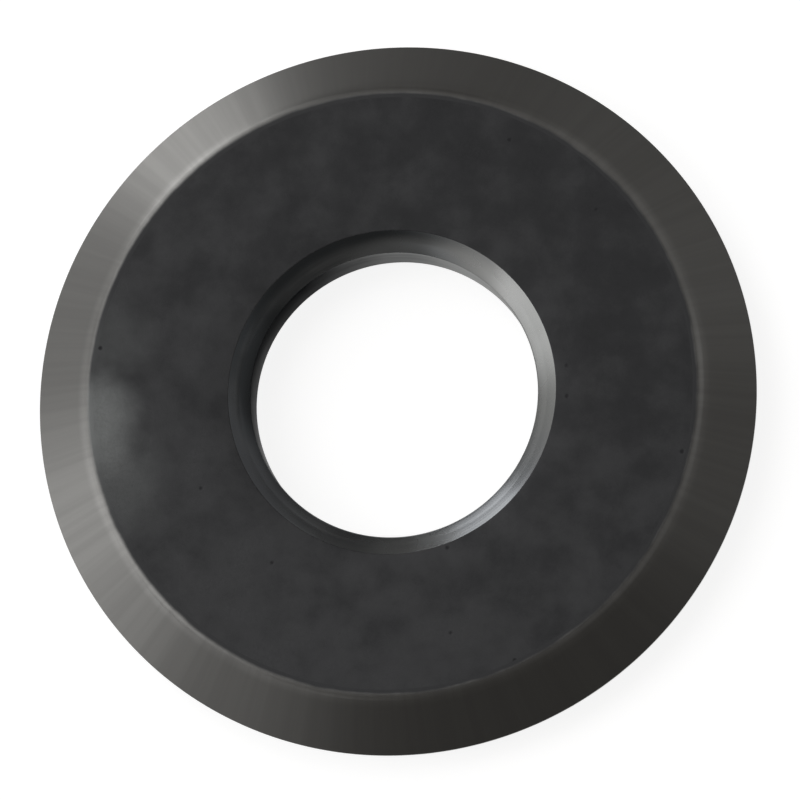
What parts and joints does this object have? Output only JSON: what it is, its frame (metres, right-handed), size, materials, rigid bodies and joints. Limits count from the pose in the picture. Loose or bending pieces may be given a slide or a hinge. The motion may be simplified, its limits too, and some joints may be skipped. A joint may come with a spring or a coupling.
{
  "type": "tile cutter wheel",
  "caption": "Hard-metal scoring wheel for a tile cutter: a flat disc with a plain bore, ground on both sides to a sharp edge.",
  "frame": {"origin": "centre of the wheel: on the bore's axis, halfway between the two flat faces", "axes": "+Z along the bore's axis, out of the face that the picture shows; X and Y lie in the plane of the cutting edge"},
  "size_m": [0.015, 0.015, 0.0016],
  "materials": {
    "carbide": "satin"
  },
  "bodies": {
    "root": {"cutter_wheel": "carbide"}
  },
  "joints": []
}
